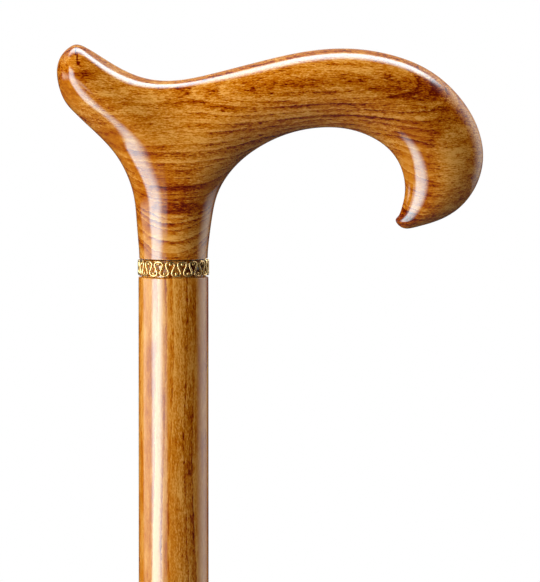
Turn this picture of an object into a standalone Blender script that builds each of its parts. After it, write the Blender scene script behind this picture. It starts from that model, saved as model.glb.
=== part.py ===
"""A derby walking cane: a beech handle screwed to a tapered beech shaft over an openwork brass
collar, with a rubber ferrule pushed on the foot.

The frame has its origin on the floor under the shaft, +Z up the shaft and +X towards the hook
of the handle. Sizes are in metres and are written in millimetres times MM.
"""

import math
from collections import namedtuple

import bmesh
import bpy
from mathutils import Matrix, Vector

MM = 0.001

# Fits
SEAT = 0.3 * MM                   # clearance left where one piece seats on or in another

# Shaft
SHAFT_LENGTH = 846.7 * MM         # from the foot to the shoulder that carries the collar
SHAFT_DIAMETER = 21.0 * MM
HEAD_PARALLEL = 130.0 * MM        # stretch below the shoulder that isn't tapered
FOOT_DIAMETER = 18.0 * MM
FOOT_PARALLEL = 38.0 * MM         # stretch above the foot that the ferrule grips
SHOULDER_ROUNDING = 0.3 * MM
FOOT_CHAMFER = 1.2 * MM

# Collar, one wire that runs round the shaft in loops
COLLAR_SLOT = 5.5 * MM            # height between the shoulder and the handle
COLLAR_LOOPS = 18
COLLAR_TURN = math.radians(-4.7)  # from the front to the nearest upper crown
COLLAR_PROUD = 0.2 * MM           # how far the wire stands out past the shaft
WIRE_WIDTH = 0.65 * MM
WIRE_DEPTH = 0.85 * MM            # measured along the shaft's radius
LOOP_GAP = 0.33 * MM              # clear space between neighbouring loops
PEARL_DIAMETER = 1.0 * MM
PEARL_SINK = 0.1 * MM             # how deep a pearl is fused into its crown

# Stud that joins the handle to the shaft
STUD_DIAMETER = 8.0 * MM
STUD_LENGTH = 70.0 * MM
STUD_CHAMFER = 0.8 * MM
DRILL_CONE = 0.6                  # depth of the cone that a drill leaves, as a share of its radius

# Handle, measured from the shaft's axis and upwards from the joint above the collar
HOOK_REACH = 92.8 * MM            # to the front of the hook
HANDLE_RISE = 62.6 * MM           # to the crown of the grip
THROAT_REACH = 69.4 * MM          # to the inner face of the hook
ARCH_RISE = 39.2 * MM             # to the top of the space for the fingers
SADDLE_RISE = 53.3 * MM           # to the lowest point of the back, over the shaft
NOSE_REACH = 34.9 * MM            # to the end behind the shaft
NOSE_RISE = 63.8 * MM
NOSE_CENTRE = Vector((8.5, -11.5)) * MM         # of the nose's oval, from reach and rise
NOSE_OVAL = (12.0 * MM, 7.8 * MM, -68.0)        # half-length, half-breadth and tilt in degrees
BACK_OVAL = (32.7 * MM, 25.4 * MM, -25.0)       # over the palm and down the front of the hook
BELLY_OVAL = (29.8 * MM, 21.7 * MM, 20.0)       # round the fingers
GRIP_WIDTH = 22.4 * MM            # across the palm
GRIP_FULLNESS = 0.68              # reach of a section's corners; a true oval has 0.707
NECK_HEIGHT = 21.0 * MM
NECK_FLARE_BACK = 2.0 * MM        # widening of the neck towards the nose, at NECK_HEIGHT
NECK_FLARE_FRONT = 3.5 * MM
NECK_FLARE_SIDE = 0.3 * MM
NECK_FLARE_POWER = 2.2
NECK_STATIONS = (1.0, 0.62, 0.26, -0.15, -0.45)    # rings of the neck, in shares of its height
NECK_ROOT = 1.45                  # where the neck leaves the grip's sides, in the same shares
NECK_ROUNDING = 0.5 * MM
NECK_SKIN = 0.1 * MM              # what facing and rounding the neck's end leaves on its side

# Ferrule and its washer
FERRULE_HEIGHT = 42.0 * MM
FERRULE_BASE = 33.0 * MM
FERRULE_WALL = 2.6 * MM
FERRULE_SOLE = 8.0 * MM           # rubber under the washer
FERRULE_RIM = 4.5 * MM            # height of the upright rim round the tread
FERRULE_FLARE_HEIGHT = 15.0 * MM
RIB_COUNT = 3
RIB_START = 18.0 * MM
RIB_HEIGHT = 2.2 * MM
RIB_PROUD = 0.6 * MM
RIB_PITCH = 4.6 * MM
CUFF_HEIGHT = 5.0 * MM
CUFF_PROUD = 0.8 * MM
TREAD_DISC = 9.0 * MM             # flat disc in the middle of the tread
TREAD_GROOVE_WIDTH = 1.6 * MM
TREAD_GROOVE_PITCH = 4.0 * MM
TREAD_GROOVE_DEPTH = 1.4 * MM
TREAD_NOTCHES = 12
TREAD_NOTCH_WIDTH = 2.0 * MM
TREAD_NOTCH_REACH = 1.9 * MM      # how far a notch runs in from the rim
WASHER_THICKNESS = 1.2 * MM
WASHER_ROUNDING = 0.3 * MM

# Fineness of the meshes
TURNED_SIDES = 36
SMALL_SIDES = 24
ARC_STEP = math.radians(30.0)
LOOP_STEPS = 12
WIRE_SIDES = 6
CAGE_ROUNDS = 60
GRIP_LEVELS = 2
CUTTER_MARGIN = 3.0 * MM          # what a cutter has beyond the material that it cuts

# Places that follow from the sizes
SHAFT_RADIUS = SHAFT_DIAMETER / 2
FOOT_RADIUS = FOOT_DIAMETER / 2
FOOT_HEIGHT = FERRULE_SOLE + SEAT + WASHER_THICKNESS + SEAT
SHOULDER_HEIGHT = FOOT_HEIGHT + SHAFT_LENGTH
JOINT_HEIGHT = SHOULDER_HEIGHT + COLLAR_SLOT
BORE_RADIUS = STUD_DIAMETER / 2 + SEAT
BORE_DEPTH = STUD_LENGTH / 2 + SEAT
COLLAR_RADIUS = SHAFT_RADIUS + COLLAR_PROUD - WIRE_DEPTH / 2
SPIGOT_RADIUS = COLLAR_RADIUS - WIRE_DEPTH / 2 - SEAT
SOCKET_RADIUS = FOOT_RADIUS + SEAT

Oval = namedtuple("Oval", "centre half_length half_breadth tilt")
Section = namedtuple("Section", "back belly half_width")


# Outlines

def rounded(corners):
    """The points of an outline whose corners, given as (x, z, radius), are rounded."""
    points = []
    for index, (x, z, radius) in enumerate(corners):
        corner = Vector((x, z))
        if not radius:
            points.append(corner)
            continue
        back = (Vector(corners[index - 1][:2]) - corner).normalized()
        ahead = (Vector(corners[index + 1][:2]) - corner).normalized()
        half = back.angle(ahead) / 2
        centre = corner + (back + ahead).normalized() * radius / math.sin(half)
        spoke = corner + back * radius / math.tan(half) - centre
        turn = math.copysign(math.pi - 2 * half, ahead.x * back.y - ahead.y * back.x)
        steps = max(2, math.ceil(abs(turn) / ARC_STEP))
        for step in range(steps + 1):
            points.append(centre + Matrix.Rotation(turn * step / steps, 2) @ spoke)
    return points


def on_oval(oval, bearing):
    """The point of a tilted oval at a bearing in degrees, counted from +X towards +Z."""
    angle = math.radians(bearing) - oval.tilt
    local = Vector((oval.half_length * math.cos(angle), oval.half_breadth * math.sin(angle)))
    return oval.centre + Matrix.Rotation(oval.tilt, 2) @ local


def oval_touching(right, top, half_length, half_breadth, tilt_degrees):
    """The oval whose bounding box has this right side and top."""
    tilt = math.radians(tilt_degrees)
    half_box = Vector((math.hypot(half_length * math.cos(tilt), half_breadth * math.sin(tilt)),
                       math.hypot(half_length * math.sin(tilt), half_breadth * math.cos(tilt))))
    return Oval(Vector((right, top)) - half_box, half_length, half_breadth, tilt)


def drilled(mouth, depth):
    """The outline of a hole for the stud, from its mouth to the point of the drill's cone."""
    point = mouth + depth + math.copysign(BORE_RADIUS * DRILL_CONE, depth)
    return [(BORE_RADIUS, mouth, 0), (BORE_RADIUS, mouth + depth, 0), (0.0, point, 0)]


# Objects

def coat(obj, colour, roughness, metallic=0.0):
    """Give an object its own material."""
    material = bpy.data.materials.new(obj.name)
    material.use_nodes = True
    shader = material.node_tree.nodes["Principled BSDF"]
    shader.inputs["Base Color"].default_value = (*colour, 1.0)
    shader.inputs["Roughness"].default_value = roughness
    shader.inputs["Metallic"].default_value = metallic
    obj.data.materials.append(material)


def add_object(name, bm, parent, height=0.0, smooth_angle=30.0):
    """Make an object from a bmesh, under a parent and at a world height on the shaft's axis."""
    mesh = bpy.data.meshes.new(name)
    bm.to_mesh(mesh)
    bm.free()
    mesh.shade_smooth()
    mesh.set_sharp_from_angle(angle=math.radians(smooth_angle))
    obj = bpy.data.objects.new(name, mesh)
    bpy.context.collection.objects.link(obj)
    obj.parent = parent
    obj.location.z = height - parent.location.z
    return obj


def add_empty(name, height):
    """A bare axis point that the pieces of one moving body hang from."""
    empty = bpy.data.objects.new(name, None)
    empty.location.z = height
    bpy.context.collection.objects.link(empty)
    return empty


def combine(obj, tool, operation):
    """Cut a tool from an object or join it on, and keep the tool out of the build."""
    modifier = obj.modifiers.new(tool.name, "BOOLEAN")
    modifier.operation = operation
    modifier.object = tool
    tool.hide_render = True
    tool.display_type = "WIRE"


def turned(points, sides):
    """A closed solid spun round the Z axis from an outline that starts and ends on it."""
    bm = bmesh.new()
    verts = [bm.verts.new((point.x, 0.0, point.y)) for point in points]
    edges = [bm.edges.new(pair) for pair in zip(verts, verts[1:])]
    bmesh.ops.spin(bm, geom=verts + edges, cent=(0, 0, 0), axis=(0, 0, 1), angle=2 * math.pi,
                   steps=sides, use_merge=True)
    bmesh.ops.remove_doubles(bm, verts=bm.verts, dist=0.001 * MM)
    bmesh.ops.recalc_face_normals(bm, faces=bm.faces)
    return bm


# Handle

def section_point(signs, centre, across, along, fullness):
    """A cage vertex on a section: its middle, one of its sides or one of its corners."""
    pull = fullness if all(signs) else 1.0
    return centre + across * (signs[0] * pull) + along * (signs[1] * pull)


def extrude_cap(bm, goals, faces, cap, places):
    """Extrude the four faces of a cap and give its nine vertices new places."""
    seen = {tuple(vert.co): signs for signs, vert in cap.items()}
    edges = {edge for face in faces for edge in face.edges}
    grown = bmesh.ops.extrude_face_region(bm, geom=faces + list(edges))["geom"]
    fresh = [item for item in grown if isinstance(item, bmesh.types.BMVert)]
    new_cap = {seen[tuple(vert.co)]: vert for vert in fresh}
    for signs, vert in new_cap.items():
        vert.co = goals[vert] = places[signs]
    return [item for item in grown if isinstance(item, bmesh.types.BMFace)], new_cap


def limit_point(vert):
    """Where Catmull-Clark subdivision carries a vertex of an all-quad cage in the end."""
    count = len(vert.link_edges)
    near = sum((edge.other_vert(vert).co for edge in vert.link_edges), Vector())
    far = Vector()
    for face in vert.link_faces:
        corners = list(face.verts)
        far += corners[corners.index(vert) - 2].co
    return (vert.co * count * count + near * 4 + far) / (count * (count + 5))


def fit_cage(goals):
    """Draw the cage out until the smooth surface that it controls passes through the goals."""
    for _ in range(CAGE_ROUNDS):
        shifts = {vert: goal - limit_point(vert) for vert, goal in goals.items()}
        for vert, shift in shifts.items():
            vert.co += shift


def flat(point, y=0.0):
    """A point of the handle's outline, in the plane of the photograph's view, set at depth y."""
    return Vector((point[0], y, point[1]))


def handle_sections():
    """The sections across the grip from the nose to the hook's tip, and the points that end it."""
    nose = Oval(Vector((-NOSE_REACH, NOSE_RISE)) + NOSE_CENTRE, *NOSE_OVAL[:2],
                math.radians(NOSE_OVAL[2]))
    back = oval_touching(HOOK_REACH, HANDLE_RISE, *BACK_OVAL)
    belly = oval_touching(THROAT_REACH, ARCH_RISE, *BELLY_OVAL)
    saddle = Vector((0.0, SADDLE_RISE))
    crown = Vector((0.0, HANDLE_RISE))
    stations = [
        (on_oval(nose, 112.0), on_oval(nose, 205.0), 0.62),
        (on_oval(nose, 78.0), Vector((-29.6, 43.6)) * MM, 0.84),
        (saddle + Vector((-17.0, 4.3)) * MM, Vector((-25.0, 39.2)) * MM, 0.93),
        (saddle + Vector((-8.0, 0.6)) * MM, Vector((-17.3, 31.0)) * MM, 0.96),
        (saddle + Vector((1.5, 0.1)) * MM, Vector((1.0, 20.0)) * MM, 0.96),
        (saddle + Vector((13.0, 2.4)) * MM, on_oval(belly, 138.0), 0.97),
        (saddle + Vector((27.0, 6.0)) * MM, on_oval(belly, 112.0), 0.99),
        (crown + Vector((41.0, -0.4)) * MM, on_oval(belly, 88.0), 1.0),
        (on_oval(back, 93.0), on_oval(belly, 66.0), 0.99),
        (on_oval(back, 62.0), on_oval(belly, 44.0), 0.95),
        (on_oval(back, 36.0), on_oval(belly, 25.0), 0.89),
        (on_oval(back, 12.0), on_oval(belly, 9.0), 0.82),
        (on_oval(back, -12.0), on_oval(belly, -2.0), 0.74),
        (on_oval(back, -36.0), on_oval(belly, -10.0), 0.62),
        (on_oval(back, -56.0), on_oval(belly, -16.0), 0.46),
        (on_oval(back, -72.0), on_oval(belly, -20.0), 0.27),
    ]
    sections = [Section(outer, inner, share * GRIP_WIDTH / 2) for outer, inner, share in stations]
    return sections, on_oval(nose, 158.0), on_oval(back, -81.0)


def neck_ring(height):
    """Centre and half-widths of the round neck at a height over the joint."""
    flare = (max(height, 0.0) / NECK_HEIGHT) ** NECK_FLARE_POWER
    left = SHAFT_RADIUS + NECK_FLARE_BACK * flare
    right = SHAFT_RADIUS + NECK_FLARE_FRONT * flare
    across = Vector(((left + right) / 2, 0.0, 0.0))
    along = Vector((0.0, SHAFT_RADIUS + NECK_FLARE_SIDE * flare, 0.0))
    return Vector(((right - left) / 2, 0.0, height)), across, along


def handle_cage():
    """The all-quad cage of the handle: the grip as one bar, with the neck drawn from its belly."""
    sections, nose_pole, tip_pole = handle_sections()
    signs = [(a, b) for a in (-1, 0, 1) for b in (-1, 0, 1)]
    bm = bmesh.new()
    bmesh.ops.create_grid(bm, x_segments=2, y_segments=2, size=1.0)
    cap = {(round(vert.co.x), round(vert.co.y)): vert for vert in bm.verts}
    faces = list(bm.faces)
    goals = {}
    rings = []
    for index, section in enumerate(sections):
        centre = flat((section.back + section.belly) / 2)
        across = Vector((0.0, section.half_width, 0.0))
        along = flat((section.back - section.belly) / 2)
        places = {key: section_point(key, centre, across, along, GRIP_FULLNESS) for key in signs}
        if index == 0:
            places[0, 0] = flat(nose_pole)
            for key, vert in cap.items():
                vert.co = goals[vert] = places[key]
        else:
            if index == len(sections) - 1:
                places[0, 0] = flat(tip_pole)
            faces, cap = extrude_cap(bm, goals, faces, cap, places)
        rings.append(cap)
    draw_neck(bm, goals, rings[3:6])
    goals = {vert: goal for vert, goal in goals.items() if vert.is_valid}
    fit_cage(goals)
    bmesh.ops.recalc_face_normals(bm, faces=bm.faces)
    return bm


def draw_neck(bm, goals, rings):
    """Extrude the belly between three sections down into the round neck."""
    behind, middle, before = rings
    root, across, along = neck_ring(NECK_ROOT * NECK_HEIGHT)
    for side in (-1, 1):
        goals[middle[side, -1]] = Vector((root.x, side * along.y, root.z))
    cap = {(column - 1, side): ring[side, -1]
           for column, ring in enumerate((behind, middle, before)) for side in (-1, 0, 1)}
    faces = [bm.faces.get([cap[a, b], cap[a + 1, b], cap[a + 1, b + 1], cap[a, b + 1]])
             for a in (-1, 0) for b in (-1, 0)]
    for share in NECK_STATIONS:
        centre, across, along = neck_ring(share * NECK_HEIGHT)
        places = {key: section_point(key, centre, across, along, math.sqrt(0.5)) for key in cap}
        faces, cap = extrude_cap(bm, goals, faces, cap, places)


def make_handle(parent):
    """The handle, with its lower end faced, rounded and bored for the stud."""
    handle = add_object("handle", handle_cage(), parent, JOINT_HEIGHT)
    smooth = handle.modifiers.new("smooth", "SUBSURF")
    smooth.levels = smooth.render_levels = GRIP_LEVELS
    side = SHAFT_RADIUS + NECK_SKIN
    outside = SHAFT_RADIUS + CUTTER_MARGIN
    under = NECK_STATIONS[-1] * NECK_HEIGHT - CUTTER_MARGIN
    profile = rounded(drilled(0.0, BORE_DEPTH)[::-1] + [
        (side - 2 * NECK_ROUNDING, 0.0, 0),
        (side, 0.0, NECK_ROUNDING),
        (side, 2 * NECK_ROUNDING, 0),
        (outside, 2 * NECK_ROUNDING, 0),
        (outside, under, 0),
        (0.0, under, 0),
    ])
    tool = add_object("handle_end_tool", turned(profile, TURNED_SIDES), parent, JOINT_HEIGHT)
    combine(handle, tool, "DIFFERENCE")
    coat(handle, (0.42, 0.19, 0.06), 0.25)


# Shaft

def make_shaft(parent):
    """The shaft, turned from foot to spigot in one outline, with the bore for the stud."""
    joint = SHAFT_LENGTH + COLLAR_SLOT
    top = joint - SEAT
    profile = rounded([
        (0.0, 0.0, 0),
        (FOOT_RADIUS - FOOT_CHAMFER, 0.0, 0),
        (FOOT_RADIUS, FOOT_CHAMFER, 0),
        (FOOT_RADIUS, FOOT_PARALLEL, 0),
        (SHAFT_RADIUS, SHAFT_LENGTH - HEAD_PARALLEL, 0),
        (SHAFT_RADIUS, SHAFT_LENGTH, SHOULDER_ROUNDING),
        (SPIGOT_RADIUS, SHAFT_LENGTH, SHOULDER_ROUNDING),
        (SPIGOT_RADIUS, top, SHOULDER_ROUNDING),
    ] + drilled(top, joint - BORE_DEPTH - top))
    shaft = add_object("shaft", turned(profile, TURNED_SIDES), parent, FOOT_HEIGHT)
    coat(shaft, (0.45, 0.21, 0.07), 0.25)


# Collar

def loop_swing(pitch, centre_gap):
    """The sideways swing of the wire that leaves a gap between the loops' centre lines."""
    low, high = pitch / 12, pitch
    for _ in range(40):
        swing = (low + high) / 2
        lean = math.asin(min(1.0, pitch / (4 * math.pi * swing)))
        half_loop = pitch * (0.125 + lean / (4 * math.pi)) + swing * math.cos(lean)
        if pitch - 2 * half_loop > centre_gap:
            low = swing
        else:
            high = swing
    return swing


def wire_point(turn, swing, rise):
    """A point of the wire's centre line, where turn counts the loops gone round."""
    angle = (turn + swing * math.sin(4 * math.pi * turn)) * 2 * math.pi / COLLAR_LOOPS + COLLAR_TURN
    return Vector((COLLAR_RADIUS * math.sin(angle), -COLLAR_RADIUS * math.cos(angle),
                   rise * math.cos(2 * math.pi * turn)))


def wire_ring(turn, swing, rise):
    """The wire's section at one place: an oval square to the wire, deep along the radius."""
    step = 0.01
    centre = wire_point(turn, swing, rise)
    ahead = wire_point(turn + step, swing, rise) - wire_point(turn - step, swing, rise)
    outward = Vector((centre.x, centre.y, 0.0)).normalized()
    sideways = ahead.cross(outward).normalized()
    ring = []
    for side in range(WIRE_SIDES):
        angle = 2 * math.pi * (side + 0.5) / WIRE_SIDES
        ring.append(centre + outward * (WIRE_DEPTH / 2 * math.sin(angle))
                    + sideways * (WIRE_WIDTH / 2 * math.cos(angle)))
    return ring


def make_collar(parent):
    """The openwork ring: a wire in loops, with a pearl fused inside the crown of each loop."""
    pitch = 2 * math.pi * COLLAR_RADIUS / COLLAR_LOOPS
    swing = loop_swing(pitch, WIRE_WIDTH + LOOP_GAP) / pitch
    rise = (COLLAR_SLOT - 2 * SEAT - WIRE_WIDTH) / 2
    bm = bmesh.new()
    first = bmesh.ops.create_circle(bm, segments=WIRE_SIDES, radius=WIRE_WIDTH)["verts"]
    ring = first
    for vert, place in zip(ring, wire_ring(0.0, swing, rise)):
        vert.co = place
    count = COLLAR_LOOPS * LOOP_STEPS
    for step in range(1, count):
        edges = [bm.edges.get((a, b)) for a, b in zip(ring, ring[1:] + ring[:1])]
        grown = bmesh.ops.extrude_edge_only(bm, edges=edges)["geom"]
        fresh = {item for item in grown if isinstance(item, bmesh.types.BMVert)}
        ring = [next(edge.other_vert(vert) for edge in vert.link_edges
                     if edge.other_vert(vert) in fresh) for vert in ring]
        for vert, place in zip(ring, wire_ring(step / LOOP_STEPS, swing, rise)):
            vert.co = place
    for index in range(WIRE_SIDES):
        follow = (index + 1) % WIRE_SIDES
        bm.faces.new((ring[index], ring[follow], first[follow], first[index]))
    bmesh.ops.recalc_face_normals(bm, faces=bm.faces)
    collar = add_object("collar", bm, parent, SHOULDER_HEIGHT + COLLAR_SLOT / 2)
    pearls = bmesh.new()
    pearl_rise = rise - WIRE_WIDTH / 2 - PEARL_DIAMETER / 2 + PEARL_SINK
    for half_turn in range(2 * COLLAR_LOOPS):
        place = Matrix.Translation(wire_point(half_turn / 2, swing, pearl_rise))
        bmesh.ops.create_icosphere(pearls, subdivisions=1, radius=PEARL_DIAMETER / 2, matrix=place)
    tool = add_object("collar_pearls", pearls, parent, SHOULDER_HEIGHT + COLLAR_SLOT / 2)
    combine(collar, tool, "UNION")
    coat(collar, (0.83, 0.62, 0.25), 0.25, 1.0)


# Stud

def make_stud(parent):
    """The steel stud, half of it in the handle and half in the shaft."""
    radius, half = STUD_DIAMETER / 2, STUD_LENGTH / 2
    profile = rounded([
        (0.0, -half, 0),
        (radius - STUD_CHAMFER, -half, 0),
        (radius, STUD_CHAMFER - half, 0),
        (radius, half - STUD_CHAMFER, 0),
        (radius - STUD_CHAMFER, half, 0),
        (0.0, half, 0),
    ])
    stud = add_object("joint_stud", turned(profile, SMALL_SIDES), parent, JOINT_HEIGHT)
    coat(stud, (0.6, 0.6, 0.62), 0.35, 1.0)


# Ferrule

def tread_corners():
    """The underside of the ferrule from its middle out: a flat disc, then grooves and rings."""
    corners = [(0.0, 0.0, 0)]
    inner = TREAD_DISC / 2
    while inner + TREAD_GROOVE_PITCH < FERRULE_BASE / 2:
        outer = inner + TREAD_GROOVE_WIDTH
        corners += [(inner, 0.0, 0), (inner, TREAD_GROOVE_DEPTH, 0),
                    (outer, TREAD_GROOVE_DEPTH, 0), (outer, 0.0, 0)]
        inner += TREAD_GROOVE_PITCH
    return corners


def make_ferrule(parent):
    """The rubber ferrule: a flared foot with a ringed tread, a ribbed sleeve and a rolled cuff."""
    base = FERRULE_BASE / 2
    sleeve = SOCKET_RADIUS + FERRULE_WALL
    cuff_base = FERRULE_HEIGHT - CUFF_HEIGHT
    corners = tread_corners()
    corners += [(base, 0.0, 0.8 * MM), (base, FERRULE_RIM, 1.5 * MM),
                (sleeve, FERRULE_FLARE_HEIGHT - 4.0 * MM, 4.0 * MM),
                (sleeve, FERRULE_FLARE_HEIGHT, 0)]
    for rib in range(RIB_COUNT):
        low = RIB_START + rib * RIB_PITCH
        slant = RIB_PROUD
        corners += [(sleeve, low, 0), (sleeve + RIB_PROUD, low + slant, 0),
                    (sleeve + RIB_PROUD, low + RIB_HEIGHT - slant, 0), (sleeve, low + RIB_HEIGHT, 0)]
    corners += [(sleeve, cuff_base, 0.5 * MM), (sleeve + CUFF_PROUD, cuff_base, 0.6 * MM),
                (sleeve + CUFF_PROUD, FERRULE_HEIGHT, 1.4 * MM),
                (SOCKET_RADIUS, FERRULE_HEIGHT, 0.8 * MM),
                (SOCKET_RADIUS, FERRULE_SOLE, 0), (0.0, FERRULE_SOLE, 0)]
    ferrule = add_object("ferrule", turned(rounded(corners), TURNED_SIDES), parent)
    notches = bmesh.new()
    length = TREAD_NOTCH_REACH + CUTTER_MARGIN
    place = Matrix.Translation((base - TREAD_NOTCH_REACH + length / 2, 0.0, 0.0))
    size = Matrix.Diagonal((length, TREAD_NOTCH_WIDTH, 2 * TREAD_GROOVE_DEPTH, 1.0))
    for index in range(TREAD_NOTCHES):
        turn = Matrix.Rotation(2 * math.pi * (index + 0.5) / TREAD_NOTCHES, 4, "Z")
        bmesh.ops.create_cube(notches, size=1.0, matrix=turn @ place @ size)
    tool = add_object("tread_notches", notches, parent)
    combine(ferrule, tool, "DIFFERENCE")
    coat(ferrule, (0.02, 0.02, 0.02), 0.7)


def make_washer(parent):
    """The steel washer that keeps the shaft's foot from cutting through the rubber."""
    radius = SOCKET_RADIUS - SEAT
    profile = rounded([
        (0.0, 0.0, 0),
        (radius, 0.0, 0),
        (radius, WASHER_THICKNESS, WASHER_ROUNDING),
        (0.0, WASHER_THICKNESS, 0),
    ])
    washer = add_object("ferrule_washer", turned(profile, TURNED_SIDES), parent, FERRULE_SOLE + SEAT)
    coat(washer, (0.6, 0.6, 0.62), 0.4, 1.0)


def main():
    for obj in list(bpy.data.objects):
        bpy.data.objects.remove(obj)
    tip = add_empty("tip", 0.0)
    stick = add_empty("stick", FOOT_HEIGHT)
    make_ferrule(tip)
    make_washer(tip)
    make_shaft(stick)
    make_stud(stick)
    make_collar(stick)
    make_handle(stick)


main()
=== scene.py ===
"""Dresses the packed derby cane: a stained beech handle and shaft under clear lacquer, a gilt
openwork collar between them and a black rubber ferrule on the foot.

The frame's origin is on the floor under the shaft, +Z runs up the shaft and +X points towards
the hook. Sizes are in metres and are written in millimetres times MM.
"""

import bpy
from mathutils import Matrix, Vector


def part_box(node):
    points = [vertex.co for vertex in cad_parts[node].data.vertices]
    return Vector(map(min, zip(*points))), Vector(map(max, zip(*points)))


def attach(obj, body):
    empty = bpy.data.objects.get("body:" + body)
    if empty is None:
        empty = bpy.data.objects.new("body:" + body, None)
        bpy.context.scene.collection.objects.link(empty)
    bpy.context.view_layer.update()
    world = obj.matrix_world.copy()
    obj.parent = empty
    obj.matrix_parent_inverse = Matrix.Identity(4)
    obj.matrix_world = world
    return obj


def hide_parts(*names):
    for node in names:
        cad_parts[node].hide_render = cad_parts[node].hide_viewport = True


bl_info = {
    "name": "Derby Cane",
    "version": (1, 0, 0),
    "blender": (4, 5, 0),
    "location": "3D View > Sidebar > Cane",
    "description": "Carves, turns and lacquers a derby cane round its packed frame",
    "category": "Object",
}

from collections import namedtuple
from math import asin, ceil, copysign, cos, hypot, pi, radians, sin, sqrt, tan

import bmesh
import bpy
from bpy.props import FloatProperty, FloatVectorProperty, IntProperty, PointerProperty
from mathutils import Matrix, Vector

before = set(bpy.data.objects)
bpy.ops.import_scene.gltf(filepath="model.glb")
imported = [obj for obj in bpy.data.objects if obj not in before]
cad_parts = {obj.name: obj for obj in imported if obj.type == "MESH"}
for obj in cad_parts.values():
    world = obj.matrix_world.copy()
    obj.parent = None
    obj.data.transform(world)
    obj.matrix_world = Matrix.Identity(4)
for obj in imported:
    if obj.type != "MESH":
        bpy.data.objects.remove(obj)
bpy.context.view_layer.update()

MM = 0.001
SEAT = 0.3 * MM                           # clearance where one piece seats on another
JOINT_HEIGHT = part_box("handle")[0].z      # the handle's lower end
SHAFT_RADIUS = 10.5 * MM
FOOT_RADIUS = 9.0 * MM
FOOT_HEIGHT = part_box("shaft")[0].z
FOOT_CHAMFER = 1.2 * MM
FOOT_LENGTH = 38.0 * MM                   # straight foot inside the ferrule
STRAIGHT_HEAD = 130.0 * MM                # from the top of the taper to the shoulder
SPIGOT_ROUNDING = 0.3 * MM
STUD_RADIUS = 4.0 * MM
STUD_HALF = 35.0 * MM

# Handle, measured from the shaft's axis and upwards from the joint
HOOK_REACH = 92.8 * MM
HANDLE_RISE = 62.6 * MM
THROAT_REACH = 69.4 * MM
ARCH_RISE = 39.2 * MM
SADDLE_RISE = 53.3 * MM
NOSE_REACH = 34.9 * MM
NOSE_RISE = 63.8 * MM
NOSE_CENTRE = Vector((8.5, -11.5)) * MM   # of its oval, from the corner of the nose's box
NOSE_OVAL = (12.0 * MM, 7.8 * MM, -68.0)  # half-length, half-breadth and tilt in degrees
BACK_OVAL = (32.7 * MM, 25.4 * MM, -25.0)
BELLY_OVAL = (29.8 * MM, 21.7 * MM, 20.0)
GRIP_FULLNESS = 0.68                      # how far out the corners of a section lie
NECK_HEIGHT = 21.0 * MM
NECK_FLARE_BACK = 2.0 * MM                # how much the neck widens over its height
NECK_FLARE_FRONT = 3.5 * MM
NECK_FLARE_SIDE = 0.3 * MM
NECK_FLARE_POWER = 2.2
NECK_STATIONS = (1.0, 0.62, 0.26, -0.15, -0.45)  # as shares of the neck's height
NECK_ROOT = 1.45                          # where the neck's sides leave the grip, as such a share
CAGE_ROUNDS = 60                          # of fitting the cage to the surface wanted
PITH = Vector((0.0, -30.0 * MM, JOINT_HEIGHT + 64.0 * MM))  # the middle of the growth rings

# Collar
COLLAR_TURN = radians(-4.7)               # stands the loops as in the photograph
COLLAR_PROUD = 0.2 * MM                   # how far the wire stands out of the wood
PEARL_SINK = 0.1 * MM                     # how far a pearl is fused into its loop
WIRE_SIDES = 10
LOOP_STEPS = 40
PEARL_SIDES = 12
PEARL_RINGS = 8

# Ferrule
SLEEVE_WALL = 2.6 * MM
SLEEVE_START = 15.0 * MM
SKIRT_TOP = 11.0 * MM                     # where the flared skirt meets the sleeve
TREAD_RIM = 4.5 * MM
SOLE = 8.0 * MM
GROOVE_START = 4.5 * MM
GROOVE_PITCH = 4.0 * MM
GROOVE_WIDTH = 1.6 * MM
GROOVE_DEPTH = 1.4 * MM
RIBS = 3
RIB_START = 18.0 * MM
RIB_PITCH = 4.6 * MM
RIB_PROUD = 0.6 * MM
RIB_FLAT = 1.0 * MM                       # height of a rib's outer face
CUFF_LENGTH = 5.0 * MM
CUFF_PROUD = 0.8 * MM
NOTCH_REACH = 1.9 * MM
NOTCH_WIDTH = 2.0 * MM

# Turned pieces
ARC_STEP = radians(15.0)                  # coarsest turn from point to point in a rounding
SHAFT_SIDES = 128
FERRULE_SIDES = 120                       # a multiple of the notches

# Wood
TONES = ("Dark", "Brown", "Amber", "Gold", "Pale")
TONE_STEPS = (0.0, 0.25, 0.5, 0.75, 1.2)  # where each tone stands on the figure's scale
# Inputs of the beech: label, kind of socket and default
BEECH_INPUTS = [
    ("Vector", "Vector", None),
    ("Ring Width", "Float", 2.2 * MM),
    ("Wander", "Float", 8.0 * MM),
    ("Level", "Float", 0.68),
    ("Bands", "Float", 0.9),
    ("Strength", "Float", 1.0),
    ("Rings", "Float", 0.42),
    ("Lines", "Float", 0.32),
    ("Patches", "Float", 1.4),
    ("Fibres", "Float", 1.05),
    ("Flecks", "Float", 0.38),
    ("Grain", "Float", 1.3),
    *((tone, "Color", None) for tone in TONES),
]
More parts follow.
